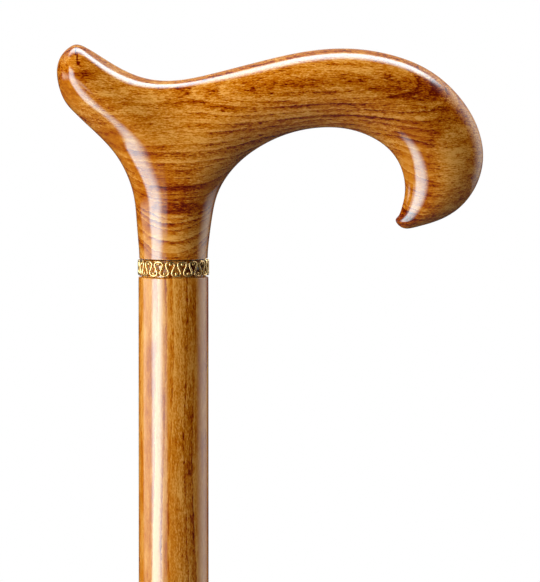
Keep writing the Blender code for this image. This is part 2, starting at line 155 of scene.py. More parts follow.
# Noises in the beech: scale along the grain, across and up, detail and roughness
BEECH_NOISES = {
    "drift": ((11.0, 50.0, 50.0), 1.0, 0.4),
    "ripple": ((45.0, 260.0, 260.0), 2.0, 0.5),
    "fibre": ((420.0, 1200.0, 2600.0), 3.0, 0.7),
    "local": ((28.0, 130.0, 130.0), 2.0, 0.5),
    "broken": ((240.0, 1300.0, 1300.0), 2.0, 0.5),
    "patch": ((80.0, 220.0, 430.0), 4.0, 0.66),
    "speck": ((560.0, 1200.0, 2800.0), 1.0, 0.5),
    "grain": ((1350.0, 3200.0, 3200.0), 2.0, 0.5),
}
RING_RIPPLE = 1.2 * MM                    # how far ripples move the growth rings
RING_FRAY = 1.3 * MM                      # how far the fibres do
RING_SPREAD = 3.5 * MM                    # how far some rings stand apart or together
LACQUER_IOR = 1.9                         # thick and glossy
LACQUER_TINT = (0.62, 0.91, 1.0, 1.0)     # keeps reflections white over the orange stain
LACQUER_ROUGHNESS = (0.055, 0.035)        # over the flecks and over the fibres
LACQUER_BUMP = 0.03
BUMP_DEPTH = 0.1 * MM
# How the shaft's wood lies in the tree, and where it differs from the handle's
SHAFT_GRAIN = {"Location": (-0.1, -0.028, 0.055), "Rotation": (0.0, radians(90.0), radians(2.0))}
SHAFT_BEECH = {"Ring Width": 3.4 * MM, "Bands": 1.1, "Level": 0.77}

MARK_NOISE = (260.0, 800.0, 800.0)        # scale of the marks' ragged edges
MARK_DEPTH = 8.0 * MM                     # the marks' middle, in front of the shaft's axis
# Marks in the handle's wood: place from the shaft and over the joint, reach along, through and up,
# all in millimetres, raggedness, and how much lighter or darker the wood's colour is there; the
# rows noted below are painted light and painted shade
HANDLE_MARKS = [
    (-28.3, 58.8, 0.75, 20, 0.85, 0.6, -1.0),
    (-27.3, 58, 1.3, 20, 0.6, 0.9, -0.45),
    (-28.7, 60.3, 0.36, 20, 1.8, 0.4, -0.8),
    (-29.2, 62.4, 0.30, 20, 1.8, 0.4, -0.65),
    (-26.5, 55.6, 3, 20, 2.4, 1, -0.20),
    # painted light: the glow of the top highlight on the wood just below it
    (-19, 54.8, 7, 60, 3.4, 0.8, 0.16),
    (-1, 45, 34, 60, 9, 0.6, 0.14),
    (4, 37.5, 24, 60, 6.5, 0.8, 0.17),
    (50, 57.8, 20, 60, 3.2, 0.8, 0.22),
    (-7, 50.8, 12, 60, 2.6, 1.4, 0.10),
    # painted light on the hook's inner flank, which faces the key softbox
    (71, 26, 4, 60, 12, 0.8, 0.10),
    (72.6, 50.6, 13, 60, 4.6, 0.9, -0.48),
    (73, 38, 14, 60, 9, 0.9, -0.04),
    (38, 44.8, 10, 60, 6, 0.8, 0.13),
    (-23, 39, 9, 60, 8, 0.8, -0.15),
    (1.2, 18.7, 6.5, 60, 9, 1.2, -0.18),
    (30, 52.6, 13, 60, 3, 0.5, -0.14),
    (60.6, 53, 13, 60, 3, 0.5, -0.16),
    (54, 44.4, 18, 60, 3, 0.6, -0.20),
    (2, 21.8, 14, 60, 1.8, 1, -0.25),
    (3.6, 15.3, 13, 60, 2.8, 1.4, -0.36),
    # painted shade on the neck's left flank, where the key softbox lights it
    (-8, 27, 8, 60, 13, 0.8, -0.07),
    (-8.5, 14, 5, 60, 8, 1, -0.12),
    (69, 11.5, 6.5, 60, 4.6, 0.8, -0.60),
    # painted light on the right of the hook, lit from the right
    (83, 27, 7, 60, 19, 1.2, 0.20),
    (77, 28, 4.5, 60, 16, 3, -0.14),
    (81.5, 44, 5, 60, 5, 0.8, -0.25),
    (-24, 44, 14, 60, 11, 0.8, 0.12),
]
# Marks in the shaft's wood, as for the handle's: two dark spots, then painted light and painted
# shade on the spigot
SHAFT_MARKS = [
    (5, -46.5, 1.6, 5, 4, 0.8, -0.3),
    (5, -62.5, 1.6, 5, 4, 0.8, -0.3),
    # painted light on the left of the spigot inside the collar, and painted shade on its right
    (-4.5, -2.7, 6, 20, 3, 0.3, 0.35),
    (7.5, -2.7, 6.5, 20, 3, 0.3, -0.85),
]
# Places in the handle where the rings are faint: place, reach and raggedness, as for the marks
HANDLE_CALM = [
    (-28, 46, 44, 60, 24, 0.5),
    (50, 58, 24, 60, 7, 0.8),
    (86, 28, 17, 60, 32, 0.8),
]
# Places with faint fibres and flecks: place, reach and raggedness, as for the marks
HANDLE_SMOOTH = [
    (-7, 8, 9, 60, 36, 0.4),
    (-17, 33, 11, 60, 11, 0.4),
    (-30.5, 50, 5, 60, 10, 0.4),
    (72, 27, 6.5, 60, 20, 0.4),
    (11, 8, 5, 60, 26, 0.4),
]
SHAFT_SMOOTH = [
    (-6, -400, 7.5, 60, 3000, 0.3),
    (9.5, -400, 4, 60, 3000, 0.3),
]
CALM = 0.8                                # share of the figure that such places lose

# Studio
# Lamps: name, bearing and elevation from the camera's side in degrees, distance, width, height,
# radiance, share of the lamp over which its left, right, lower and upper side fades, share of
# the width that is masked at the foot of the left side, colour
LAMPS = [
    ("Key softbox", -56.0, -5.0, 0.8, 0.72, 1.70, 5.0, (0.25, 0.40, 0.30, 0.20), 0.38,
     (1.0, 1.0, 1.0)),
    ("Left panel", -69.0, -1.0, 1.5, 3.8, 0.75, 1.7, (0.15, 0.15, 0.5, 0.5), 0.0,
     (1.0, 0.97, 0.93)),
    ("Right panel", 118.0, 15.0, 1.5, 2.5, 4.0, 1.50, (0.5, 0.5, 0.5, 0.5), 0.0,
     (1.0, 0.95, 0.91)),
    ("Top strip", 180.0, 75.5, 1.0, 2.2, 0.56, 8.0, (0.3, 0.50, 0.34, 0.50), 0.0,
     (0.94, 0.98, 1.0)),
]
TARGET = Vector((28.95 * MM, 0.0, JOINT_HEIGHT - 9.96 * MM))
PIXEL = 0.3 * MM
FRAME_HEIGHT = 582
SENSOR = 36.0                             # millimetres
FLOOR_RADIUS = 40.0

Oval = namedtuple("Oval", "centre half_length half_breadth tilt")


# Settings that a user would change

class CaneHandle(bpy.types.PropertyGroup):
    """The grip"""
    grip_width: FloatProperty(name="Grip width", description="Width across the palm",
                              default=22.4 * MM, unit="LENGTH")
    end_rounding: FloatProperty(name="End rounding", description="Rounding of the lower edge",
                                default=0.5 * MM, unit="LENGTH")
    fineness: IntProperty(name="Fineness", description="Subdivisions of the cage", default=4)


class CaneCollar(bpy.types.PropertyGroup):
    """The openwork ring"""
    loops: IntProperty(name="Loops", description="Loops of wire round the ring", default=18)
    height: FloatProperty(name="Height", description="Height of the slot for the ring",
                          default=5.5 * MM, unit="LENGTH")
    wire_width: FloatProperty(name="Wire width", description="Width of the wire as seen",
                              default=0.65 * MM, unit="LENGTH")
    wire_depth: FloatProperty(name="Wire depth", description="Thickness along the radius",
                              default=0.85 * MM, unit="LENGTH")
    loop_gap: FloatProperty(name="Loop gap", description="Clear space between two loops",
                            default=0.33 * MM, unit="LENGTH")
    pearl: FloatProperty(name="Pearl", description="Diameter of the bead in each loop",
                         default=1.0 * MM, unit="LENGTH")


class CaneFerrule(bpy.types.PropertyGroup):
    """The rubber foot"""
    height: FloatProperty(name="Height", description="Height of the ferrule",
                          default=42.0 * MM, unit="LENGTH")
    base: FloatProperty(name="Base", description="Diameter of the tread",
                        default=33.0 * MM, unit="LENGTH")
    notches: IntProperty(name="Notches", description="Notches round the tread", default=12)


class CaneFinish(bpy.types.PropertyGroup):
    """Stain and gilding"""
    pale: FloatVectorProperty(name="Pale", description="Lightest early wood under the stain",
                              subtype="COLOR", default=(0.74, 0.355, 0.070))
    gold: FloatVectorProperty(name="Gold", description="Open wood that took little stain",
                              subtype="COLOR", default=(0.535, 0.175, 0.006))
    amber: FloatVectorProperty(name="Amber", description="Middle tone of the stained wood",
                               subtype="COLOR", default=(0.41, 0.098, 0.0003))
    brown: FloatVectorProperty(name="Brown", description="Denser wood that took more stain",
                               subtype="COLOR", default=(0.265, 0.034, 0.0002))
    dark: FloatVectorProperty(name="Dark", description="Late wood, flecks and knots",
                              subtype="COLOR", default=(0.115, 0.006, 0.0001))
    brass: FloatVectorProperty(name="Brass", description="Colour of the gilding",
                               subtype="COLOR", default=(1.0, 0.72, 0.28))


class CaneStage(bpy.types.PropertyGroup):
    """Studio"""
    distance: FloatProperty(name="Camera distance", description="Camera to cane",
                            default=3.0, unit="LENGTH")
    elevation: FloatProperty(name="Camera elevation", description="Height of the view",
                             default=radians(4.0), subtype="ANGLE")


# Outlines and shapes

def rounded(corners):
    """The points of an outline whose corners, given as (x, z, radius), are rounded."""
    points = []
    for index, (x, z, radius) in enumerate(corners):
        corner = Vector((x, z))
        if not radius:
            points.append(corner)
            continue
        back = (Vector(corners[index - 1][:2]) - corner).normalized()
        ahead = (Vector(corners[index + 1][:2]) - corner).normalized()
        half = back.angle(ahead) / 2
        centre = corner + (back + ahead).normalized() * radius / sin(half)
        spoke = corner + back * radius / tan(half) - centre
        turn = copysign(pi - 2 * half, ahead.x * back.y - ahead.y * back.x)
        steps = max(2, ceil(abs(turn) / ARC_STEP))
        for step in range(steps + 1):
            points.append(centre + Matrix.Rotation(turn * step / steps, 2) @ spoke)
    return points


def turned(points, sides, height):
    """A closed solid spun round the Z axis from an outline that starts and ends on it."""
    bm = bmesh.new()
    verts = [bm.verts.new((point.x, 0.0, point.y + height)) for point in points]
    edges = [bm.edges.new(pair) for pair in zip(verts, verts[1:])]
    bmesh.ops.spin(bm, geom=verts + edges, cent=(0, 0, 0), axis=(0, 0, 1), angle=2 * pi,
                   steps=sides, use_merge=True)
    bmesh.ops.remove_doubles(bm, verts=bm.verts, dist=0.001 * MM)
    bmesh.ops.recalc_face_normals(bm, faces=bm.faces)
    return bm


def of_kind(items, kind):
    """The items of one kind, such as the vertices, among what a bmesh operation made."""
    return [item for item in items if isinstance(item, kind)]


def new_object(name, data):
    """A new object in the scene."""
    obj = bpy.data.objects.new(name, data)
    bpy.context.collection.objects.link(obj)
    return obj


def mesh_object(name, bm):
    """A new object in the scene that takes over a bmesh."""
    mesh = bpy.data.meshes.new(name)
    bm.to_mesh(mesh)
    bm.free()
    return new_object(name, mesh)


def settled(objects):
    """The bmesh of the first object with its modifiers applied; the objects are removed."""
    bm = bmesh.new()
    bm.from_object(objects[0], bpy.context.evaluated_depsgraph_get())
    for obj in objects:
        mesh = obj.data
        bpy.data.objects.remove(obj)
        bpy.data.meshes.remove(mesh)
    return bm


def subdivided(bm, levels):
    """The bmesh after Catmull-Clark subdivision."""
    obj = mesh_object("temporary", bm)
    smooth = obj.modifiers.new("smooth", "SUBSURF")
    smooth.levels = smooth.render_levels = levels
    return settled([obj])


def combined(bm, tool, operation):
    """The bmesh after a tool is cut from it or joined to it."""
    obj, other = mesh_object("piece", bm), mesh_object("tool", tool)
    boolean = obj.modifiers.new("boolean", "BOOLEAN")
    boolean.operation = operation
    boolean.object = other
    return settled([obj, other])


def add_piece(name, bm, material, body, node, smooth_angle=35.0):
    """Finish a closed bmesh as a piece that rides on a body and stands for a CAD node."""
    gaps = sum(not edge.is_manifold for edge in bm.edges)
    if gaps:
        raise RuntimeError(f"{name} isn't closed: {gaps} of its edges lack a second face")
    obj = mesh_object(name, bm)
    obj.data.shade_smooth()
    obj.data.set_sharp_from_angle(angle=radians(smooth_angle))
    obj.data.materials.append(material)
    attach(obj, body)
    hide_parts(node)


# Handle

def on_oval(oval, bearing):
    """The point of a tilted oval at a bearing in degrees, counted from +X towards +Z."""
    angle = radians(bearing) - oval.tilt
    local = Vector((oval.half_length * cos(angle), oval.half_breadth * sin(angle)))
    return oval.centre + Matrix.Rotation(oval.tilt, 2) @ local


def oval_touching(right, top, half_length, half_breadth, tilt_degrees):
    """The oval whose bounding box has this right side and top."""
    tilt = radians(tilt_degrees)
    half_box = Vector((hypot(half_length * cos(tilt), half_breadth * sin(tilt)),
                       hypot(half_length * sin(tilt), half_breadth * cos(tilt))))
    return Oval(Vector((right, top)) - half_box, half_length, half_breadth, tilt)


def handle_sections():
    """The sections across the grip from the nose to the hook's tip, and the points that end it.

    A section is its point on the back, its point on the belly and its share of the full width.
    """
    nose = Oval(Vector((-NOSE_REACH, NOSE_RISE)) + NOSE_CENTRE, *NOSE_OVAL[:2],
                radians(NOSE_OVAL[2]))
    back = oval_touching(HOOK_REACH, HANDLE_RISE, *BACK_OVAL)
    belly = oval_touching(THROAT_REACH, ARCH_RISE, *BELLY_OVAL)
    saddle = Vector((0.0, SADDLE_RISE))
    crown = Vector((0.0, HANDLE_RISE))
    sections = [
        (on_oval(nose, 112.0), on_oval(nose, 205.0), 0.62),
        (on_oval(nose, 78.0), Vector((-29.6, 43.6)) * MM, 0.84),
        (saddle + Vector((-17.0, 4.3)) * MM, Vector((-25.0, 39.2)) * MM, 0.93),
        (saddle + Vector((-8.0, 0.6)) * MM, Vector((-17.3, 31.0)) * MM, 0.96),
        (saddle + Vector((1.5, 0.1)) * MM, Vector((1.0, 20.0)) * MM, 0.96),
        (saddle + Vector((13.0, 2.4)) * MM, on_oval(belly, 138.0), 0.97),
        (saddle + Vector((27.0, 6.0)) * MM, on_oval(belly, 112.0), 0.99),
        (crown + Vector((41.0, -0.4)) * MM, on_oval(belly, 88.0), 1.0),
        (on_oval(back, 93.0), on_oval(belly, 66.0), 0.99),
        (on_oval(back, 62.0), on_oval(belly, 44.0), 0.95),
        (on_oval(back, 36.0), on_oval(belly, 25.0), 0.89),
        (on_oval(back, 12.0), on_oval(belly, 9.0), 0.82),
        (on_oval(back, -12.0), on_oval(belly, -2.0), 0.74),
        (on_oval(back, -36.0), on_oval(belly, -10.0), 0.62),
        (on_oval(back, -56.0), on_oval(belly, -16.0), 0.46),
        (on_oval(back, -72.0), on_oval(belly, -20.0), 0.27),
    ]
    return sections, on_oval(nose, 158.0), on_oval(back, -81.0)


def section_point(signs, centre, across, along, fullness):
    """A cage vertex on a section: its middle, one of its sides or one of its corners."""
    pull = fullness if all(signs) else 1.0
    return centre + across * (signs[0] * pull) + along * (signs[1] * pull)


def extrude_cap(bm, goals, faces, cap, places):
    """Extrude the four faces of a cap and give its nine vertices new places."""
    seen = {tuple(vert.co): signs for signs, vert in cap.items()}
    edges = {edge for face in faces for edge in face.edges}
    grown = bmesh.ops.extrude_face_region(bm, geom=faces + list(edges))["geom"]
    new_cap = {seen[tuple(vert.co)]: vert for vert in of_kind(grown, bmesh.types.BMVert)}
    for signs, vert in new_cap.items():
        vert.co = goals[vert] = places[signs]
    return of_kind(grown, bmesh.types.BMFace), new_cap


def limit_point(vert):
    """Where Catmull-Clark subdivision carries a vertex of an all-quad cage in the end."""
    count = len(vert.link_edges)
    near = sum((edge.other_vert(vert).co for edge in vert.link_edges), Vector())
    far = Vector()
    for face in vert.link_faces:
        corners = list(face.verts)
        far += corners[corners.index(vert) - 2].co
    return (vert.co * count * count + near * 4 + far) / (count * (count + 5))


def fit_cage(goals):
    """Draw the cage out until the smooth surface that it controls passes through the goals."""
    for _ in range(CAGE_ROUNDS):
        shifts = {vert: goal - limit_point(vert) for vert, goal in goals.items()}
        for vert, shift in shifts.items():
            vert.co += shift


def flat(point):
    """A point of the handle's outline, in the plane through the shaft and the hook."""
    return Vector((point[0], 0.0, point[1]))


def neck_ring(height):
    """Centre and half-widths of the round neck at a height over the joint."""
    flare = (max(height, 0.0) / NECK_HEIGHT) ** NECK_FLARE_POWER
    left = SHAFT_RADIUS + NECK_FLARE_BACK * flare
    right = SHAFT_RADIUS + NECK_FLARE_FRONT * flare
    across = Vector(((left + right) / 2, 0.0, 0.0))
    along = Vector((0.0, SHAFT_RADIUS + NECK_FLARE_SIDE * flare, 0.0))
    return Vector(((right - left) / 2, 0.0, height)), across, along


def draw_neck(bm, goals, rings):
    """Extrude the belly between three sections down into the round neck."""
    behind, middle, before = rings
    root, across, along = neck_ring(NECK_ROOT * NECK_HEIGHT)
    for side in (-1, 1):
        goals[middle[side, -1]] = Vector((root.x, side * along.y, root.z))
    cap = {(column - 1, side): ring[side, -1]
           for column, ring in enumerate((behind, middle, before)) for side in (-1, 0, 1)}
    faces = [bm.faces.get([cap[a, b], cap[a + 1, b], cap[a + 1, b + 1], cap[a, b + 1]])
             for a in (-1, 0) for b in (-1, 0)]
    for share in NECK_STATIONS:
        centre, across, along = neck_ring(share * NECK_HEIGHT)
        places = {key: section_point(key, centre, across, along, sqrt(0.5)) for key in cap}
        faces, cap = extrude_cap(bm, goals, faces, cap, places)


def handle_cage(grip_width):
    """The all-quad cage of the handle: the grip as one bar, with the neck drawn from its belly."""
    sections, nose_pole, tip_pole = handle_sections()
    signs = [(a, b) for a in (-1, 0, 1) for b in (-1, 0, 1)]
    bm = bmesh.new()
    bmesh.ops.create_grid(bm, x_segments=2, y_segments=2, size=1.0)
    cap = {(round(vert.co.x), round(vert.co.y)): vert for vert in bm.verts}
    faces = list(bm.faces)
    goals = {}
    rings = []
    for index, (back, belly, share) in enumerate(sections):
        centre = flat((back + belly) / 2)
        across = Vector((0.0, share * grip_width / 2, 0.0))
        along = flat((back - belly) / 2)
        places = {key: section_point(key, centre, across, along, GRIP_FULLNESS) for key in signs}
        if index == 0:
            places[0, 0] = flat(nose_pole)
            for key, vert in cap.items():
                vert.co = goals[vert] = places[key]
        else:
            if index == len(sections) - 1:
                places[0, 0] = flat(tip_pole)
            faces, cap = extrude_cap(bm, goals, faces, cap, places)
        rings.append(cap)
    draw_neck(bm, goals, rings[3:6])
    goals = {vert: goal for vert, goal in goals.items() if vert.is_valid}
    fit_cage(goals)
    bmesh.ops.recalc_face_normals(bm, faces=bm.faces)
    return bm


def face_end(bm, height, rounding):
    """Saw the neck off level, close it, round its edge and bore it for the stud."""
    cut = bmesh.ops.bisect_plane(bm, geom=[*bm.verts, *bm.edges, *bm.faces], dist=0.001 * MM,
                                 plane_co=(0, 0, height), plane_no=(0, 0, -1),
                                 clear_outer=True)["geom_cut"]
    rim = of_kind(cut, bmesh.types.BMEdge)
    end = bmesh.ops.contextual_create(bm, geom=rim)["faces"][0]
    bmesh.ops.bevel(bm, geom=list(end.edges), offset=rounding, offset_type="OFFSET", segments=4,
                    profile=0.5, affect="EDGES", material=-1, clamp_overlap=True)
    end = min(bm.faces, key=lambda face: face.calc_center_median().z)
    bore = STUD_RADIUS + SEAT
    bmesh.ops.inset_region(bm, faces=[end], thickness=SHAFT_RADIUS - rounding - bore,
                           use_even_offset=True)
    hole = bmesh.ops.extrude_face_region(bm, geom=[end])["geom"]
    bmesh.ops.delete(bm, geom=[end], context="FACES_ONLY")
    rise = Vector((0.0, 0.0, STUD_HALF + SEAT))
    bmesh.ops.translate(bm, verts=of_kind(hole, bmesh.types.BMVert), vec=rise)
    bmesh.ops.recalc_face_normals(bm, faces=bm.faces)


# Collar

def loop_swing(pitch, centre_gap):
    """The sideways swing of the wire that leaves a gap between the loops' centre lines."""
    low, high = pitch / 12, pitch
    for _ in range(40):
        swing = (low + high) / 2
        lean = asin(min(1.0, pitch / (4 * pi * swing)))
        half_loop = pitch * (0.125 + lean / (4 * pi)) + swing * cos(lean)
        if pitch - 2 * half_loop > centre_gap:
            low = swing
        else:
            high = swing
    return swing


def wire_point(turn, radius, loops, swing, rise):
    """A point of the wire's centre line, where turn counts the loops gone round."""
    angle = (turn + swing * sin(4 * pi * turn)) * 2 * pi / loops + COLLAR_TURN
    return Vector((radius * sin(angle), -radius * cos(angle), rise * cos(2 * pi * turn)))


def wire_frame(turn, *shape):
    """A matrix that stands the wire's section square to the wire, with its depth outwards."""
    step = 0.01
    centre = wire_point(turn, *shape)
    ahead = (wire_point(turn + step, *shape) - wire_point(turn - step, *shape)).normalized()
    outward = Vector((centre.x, centre.y, 0.0)).normalized()
    sideways = ahead.cross(outward).normalized()
    outward = sideways.cross(ahead)
    matrix = Matrix((sideways, outward, ahead)).transposed().to_4x4()
    matrix.translation = centre
    return matrix


# Materials

def fill(node, inputs):
    """Fill a node's inputs with values or links."""
    for key, value in dict(inputs).items():
        if isinstance(value, bpy.types.NodeSocket):
            node.id_data.links.new(value, node.inputs[key])
        else:
            node.inputs[key].default_value = value


def put(tree, kind, inputs=(), **settings):
    """Add a node, set its properties and fill its inputs."""
    node = tree.nodes.new("ShaderNode" + kind)
    for name, value in settings.items():
        setattr(node, name, value)
    fill(node, inputs)
    return node


def maths(tree, operation, *values):
    """A Math node's result."""
    return put(tree, "Math", enumerate(values), operation=operation).outputs[0]


def times(tree, product, *factors):
    """The product of values."""
    for factor in factors:
        product = maths(tree, "MULTIPLY", product, factor)
    return product


def remap(tree, value, low, high, to_low=0.0, to_high=1.0, interpolation="SMOOTHSTEP"):
    """A Map Range node's result."""
    return put(tree, "MapRange", {"Value": value, "From Min": low, "From Max": high,
                                  "To Min": to_low, "To Max": to_high},
               interpolation_type=interpolation).outputs["Result"]


def blend(tree, factor, first, second):
    """A colour Mix node's result."""
    return put(tree, "Mix", {0: factor, 6: first, 7: second}, data_type="RGBA").outputs[2]


def noise(tree, vector, scale, detail=2.0, roughness=0.5):
    """A 3-D Noise Texture's factor."""
    return put(tree, "TexNoise", {"Vector": vector, "Scale": scale, "Detail": detail,
                                  "Roughness": roughness}).outputs[0]


def line_noise(tree, place, scale, detail, roughness=0.5):
    """A 1-D Noise Texture's factor."""
    return put(tree, "TexNoise", {"W": place, "Scale": scale, "Detail": detail,
                                  "Roughness": roughness}, noise_dimensions="1D").outputs[0]


def centred(tree, value):
    """A factor moved so that it swings round zero."""
    return maths(tree, "SUBTRACT", value, 0.5)


def swung(tree, base, value, amount):
    """A base that a noise factor moves up and down."""
    return maths(tree, "MULTIPLY_ADD", centred(tree, value), amount, base)


def stretched(tree, vector, scale):
    """A vector scaled along its axes."""
    return put(tree, "Mapping", {"Vector": vector, "Scale": scale}).outputs[0]


def new_group(name, inputs, outputs):
    """A shader node group, the sockets that it takes and the node that gives its outputs."""
    tree = bpy.data.node_groups.new(name, "ShaderNodeTree")
    for label, kind, default in inputs:
        socket = tree.interface.new_socket(label, in_out="INPUT", socket_type="NodeSocket" + kind)
        if default is not None:
            socket.default_value = default
    for label, kind in outputs:
        tree.interface.new_socket(label, in_out="OUTPUT", socket_type="NodeSocket" + kind)
    return tree, tree.nodes.new("NodeGroupInput").outputs, tree.nodes.new("NodeGroupOutput")


def beech_group():
    """Stained beech: growth rings round the X axis, fibres along it and short dark flecks.

    Going outwards, a ring grows lighter and ends in a bright line with a dark edge beyond it.
    """
    tree, taken, given = new_group("Beech", BEECH_INPUTS, [("Color", "Color"), ("Height", "Float")])
    vector = taken["Vector"]
    field = {name: noise(tree, stretched(tree, vector, scale), 1.0, *rest)
             for name, (scale, *rest) in BEECH_NOISES.items()}
    _, across, up = put(tree, "SeparateXYZ", {0: vector}).outputs
    radius = maths(tree, "SQRT", maths(tree, "MULTIPLY_ADD", across, across, times(tree, up, up)))
    moved = swung(tree, radius, field["drift"], taken["Wander"])
    moved = swung(tree, moved, field["ripple"], RING_RIPPLE)
    moved = swung(tree, moved, field["fibre"], RING_FRAY)
    moved = swung(tree, moved, line_noise(tree, moved, 260.0, 1.0), RING_SPREAD)
    rings = maths(tree, "DIVIDE", moved, taken["Ring Width"])
    bands = line_noise(tree, rings, 0.24, 2.0, 0.55)
    phase = maths(tree, "FRACT", rings)
    slope = remap(tree, phase, 0.0, 0.85)
    line = times(tree, remap(tree, phase, 0.84, 0.94), remap(tree, phase, 1.0, 0.96))
    line = maths(tree, "MULTIPLY_ADD", remap(tree, phase, 0.30, 0.03), -0.4, line)
    each = line_noise(tree, maths(tree, "FLOOR", rings), 3.7, 0.0)
    strength = times(tree, remap(tree, each, 0.25, 0.65, 0.4, 1.0),
                     remap(tree, field["local"], 0.30, 0.60, 0.45, 1.2), taken["Strength"])
    ring = times(tree, centred(tree, slope), strength)
    line = times(tree, line, strength, remap(tree, field["broken"], 0.35, 0.62, 0.1, 1.4))
    mottle = times(tree, centred(tree, field["patch"]),
                   maths(tree, "SUBTRACT", 1.3, times(tree, slope, strength)))
    dark = times(tree, remap(tree, field["speck"], 0.54, 0.68),
                 remap(tree, slope, 1.0, 0.2, 0.3, 1.0))
    fleck = maths(tree, "SUBTRACT", dark, remap(tree, field["speck"], 0.46, 0.34, 0.0, 0.6))
    tone = swung(tree, taken["Level"], bands, taken["Bands"])
    for figure, amount in ((ring, "Rings"), (line, "Lines"), (mottle, "Patches")):
        tone = maths(tree, "MULTIPLY_ADD", figure, taken[amount], tone)
    tone = swung(tree, tone, field["fibre"], taken["Fibres"])
    tone = swung(tree, tone, field["grain"], taken["Grain"])
    tone = maths(tree, "SUBTRACT", tone, times(tree, fleck, taken["Flecks"]))
    colour = taken[TONES[0]]
    for low, high, label in zip(TONE_STEPS, TONE_STEPS[1:], TONES[1:]):
        share = remap(tree, tone, low, high, interpolation="LINEAR")
        colour = blend(tree, share, colour, taken[label])
    fill(given, {"Color": colour, "Height": maths(tree, "SUBTRACT", field["fibre"], fleck)})


def mark_group():
    """A soft ragged spot of lighter or darker colour in the wood: a knot or a darker patch, and
    also a patch of painted light or painted shade.
    """
    tree, taken, given = new_group("Mark", [
        ("Vector", "Vector", None),
        ("Centre", "Vector", None),
        ("Reach", "Vector", (0.01, 0.01, 0.01)),
        ("Ragged", "Float", 0.5),
    ], [("Mask", "Float")])
    offset = put(tree, "VectorMath", {0: taken["Vector"], 1: taken["Centre"]},
                 operation="SUBTRACT").outputs[0]
    scaled = put(tree, "VectorMath", {0: offset, 1: taken["Reach"]}, operation="DIVIDE").outputs[0]
    length = put(tree, "VectorMath", {0: scaled}, operation="LENGTH").outputs["Value"]
    rough = noise(tree, stretched(tree, taken["Vector"], MARK_NOISE), 1.0, 3.0)
    reach = swung(tree, length, rough, taken["Ragged"])
    fill(given, {"Mask": remap(tree, reach, 1.0, 0.35)})


def new_material(name):
    """A material with its node tree and its Principled BSDF."""
    material = bpy.data.materials.new(name)
    material.use_nodes = True
    return material, material.node_tree, material.node_tree.nodes["Principled BSDF"]


def relief(tree, height, strength):
    """The normal of a fine relief."""
    return put(tree, "Bump", {"Strength": strength, "Distance": BUMP_DEPTH,
                              "Height": height}).outputs[0]


def shared_group(name):
    """A node group that the first operator has built."""
    if name not in bpy.data.node_groups:
        raise RuntimeError("Build the node groups first")
    return bpy.data.node_groups[name]


def placed(rows):
    """Rows of marks or places with their centre and their reach as vectors."""
    return [(Vector((x * MM, -MARK_DEPTH, JOINT_HEIGHT + rise * MM)),
             Vector((long, deep, high)) * MM, *rest)
            for x, rise, long, deep, high, *rest in rows]


def mark_mask(tree, place, centre, reach, ragged):
    """The mask of a Mark node at a centre."""
    inputs = {"Vector": place, "Centre": centre, "Reach": reach, "Ragged": ragged}
    return put(tree, "Group", inputs, node_tree=shared_group("Mark")).outputs[0]


def wood_material(name, finish, mapping, values, marks, calm, smooth):
    """Lacquered beech whose grain runs along X after the mapping.

    The wood's colour is lighter or darker at the marks, some of which are painted light and painted
    shade; the rings are faint in the calm places, and the fibres and flecks in the smooth ones.
    """
    material, tree, shader = new_material(name)
    place = put(tree, "TexCoord").outputs["Object"]
    vector = put(tree, "Mapping", {"Vector": place, **mapping}).outputs[0]
    tones = {tone: (*getattr(finish, tone.lower()), 1.0) for tone in TONES}
    beech = put(tree, "Group", {"Vector": vector, **tones, **values},
                node_tree=shared_group("Beech"))
    level = beech.inputs["Level"].default_value
    for *spot, shift in placed(marks):
        level = maths(tree, "MULTIPLY_ADD", mark_mask(tree, place, *spot), shift, level)
    fill(beech, {"Level": level})
    for labels, spots in ((("Strength",), calm), (("Fibres", "Flecks", "Grain"), smooth)):
        masks = [mark_mask(tree, place, *spot) for spot in placed(spots)]
        kept = times(tree, 1.0, *(maths(tree, "MULTIPLY_ADD", mask, -CALM, 1.0) for mask in masks))
        for label in labels:
            fill(beech, {label: times(tree, kept, beech.inputs[label].default_value)})
    height = beech.outputs["Height"]
    gloss = remap(tree, height, 0.0, 1.0, *LACQUER_ROUGHNESS, "LINEAR")
    fill(shader, {"Base Color": beech.outputs["Color"], "Roughness": gloss, "IOR": LACQUER_IOR,
                  "Specular Tint": LACQUER_TINT, "Normal": relief(tree, height, LACQUER_BUMP)})
    return material


def metal_material(name, colour, roughness, scale, lacquer=0.0):
    """Metal with soft tarnish and fine handling marks, bare or under lacquer."""
    material, tree, shader = new_material(name)
    place = put(tree, "TexCoord").outputs["Object"]
    tarnish = noise(tree, place, scale, 4.0, 0.6)
    darker = tuple(0.6 * channel ** 1.6 for channel in colour)
    mixed = blend(tree, remap(tree, tarnish, 0.45, 0.7), (*colour, 1.0), (*darker, 1.0))
    worn = remap(tree, noise(tree, place, scale * 3.0, 3.0), 0.3, 0.7, roughness, roughness * 2.0)
    fill(shader, {"Base Color": mixed, "Roughness": worn, "Metallic": 0.85 if lacquer else 1.0,
                  "Coat Weight": lacquer, "Coat Roughness": 0.08, "Coat IOR": 1.6})
    return material


